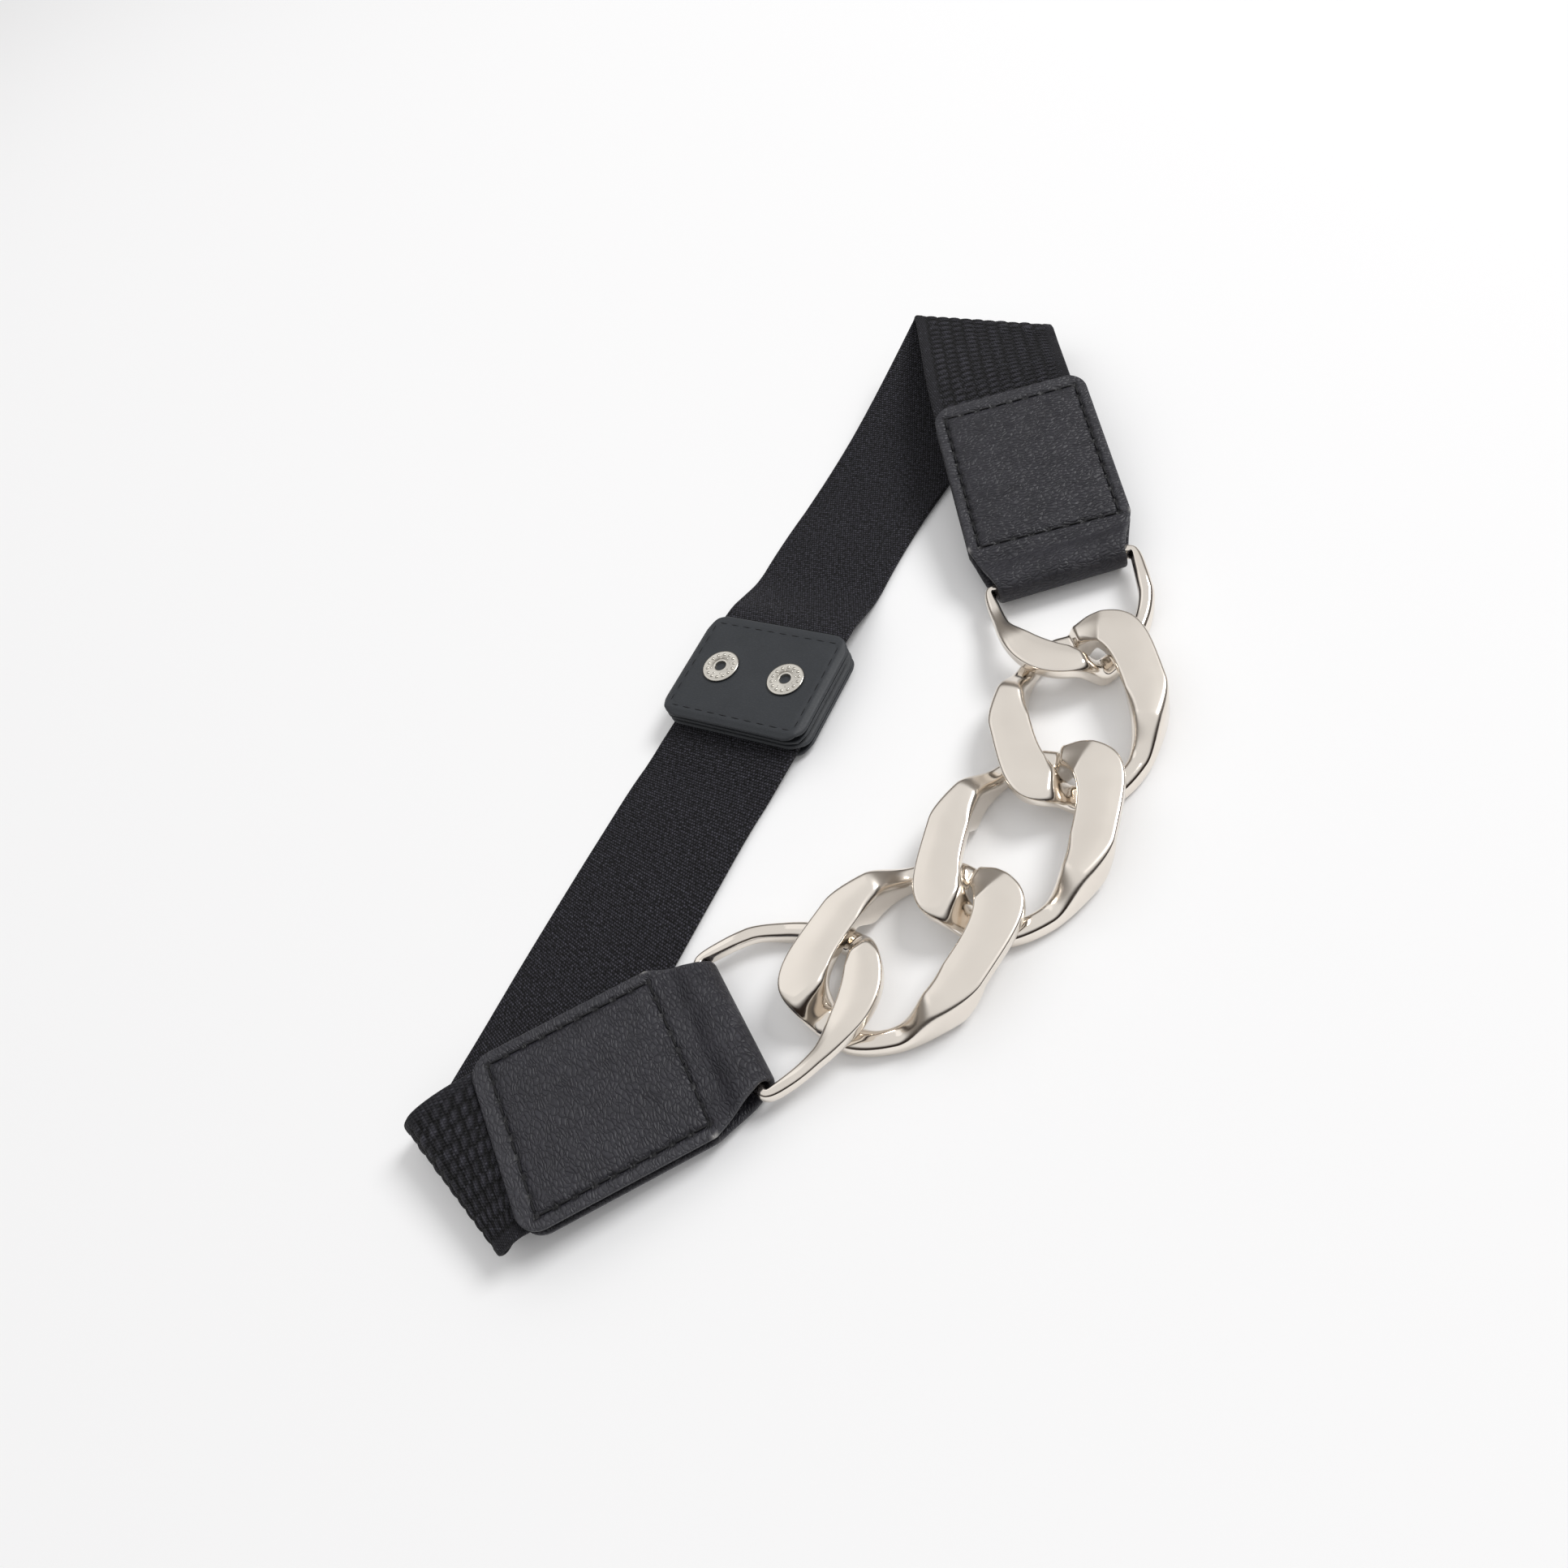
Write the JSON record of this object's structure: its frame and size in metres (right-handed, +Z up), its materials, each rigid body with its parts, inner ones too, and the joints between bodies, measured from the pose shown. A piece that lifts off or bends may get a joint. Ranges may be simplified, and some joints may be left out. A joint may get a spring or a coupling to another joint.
{
  "type": "elastic chain belt",
  "caption": "Elastic waist belt with leather tabs, a press-stud patch and a front of interlocking flat curb links, lying flat with both straps folded back.",
  "frame": {"origin": "middle of the belt's bounding box at the height of the table it lies on", "axes": "+Z up off the table, +X from the folded end by the lower tab towards the chain's upper end, +Y from the lower tab's fold towards the upper tab's fold"},
  "size_m": [0.2488, 0.204, 0.0186],
  "materials": {
    "elastic": "dark woven elastic, brick-like ribs outside and a fine weave inside",
    "leather": "dark grey pebbled synthetic leather, satin",
    "chain_metal": "warm silver, satin flats and polished necks",
    "stud_metal": "plated silver with a row of beads round the cap"
  },
  "bodies": {
    "root": {"elastic_upper": "elastic", "elastic_lower": "elastic", "tab_upper": "leather", "tab_lower": "leather", "patch_bottom_back": "leather", "patch_bottom_face": "leather", "patch_top_back": "leather", "patch_top_face": "leather", "end_link_upper": "chain_metal", "link_1": "chain_metal", "link_2": "chain_metal", "link_3": "chain_metal", "end_link_lower": "chain_metal", "stud_1": "stud_metal", "stud_2": "stud_metal"}
  },
  "joints": []
}
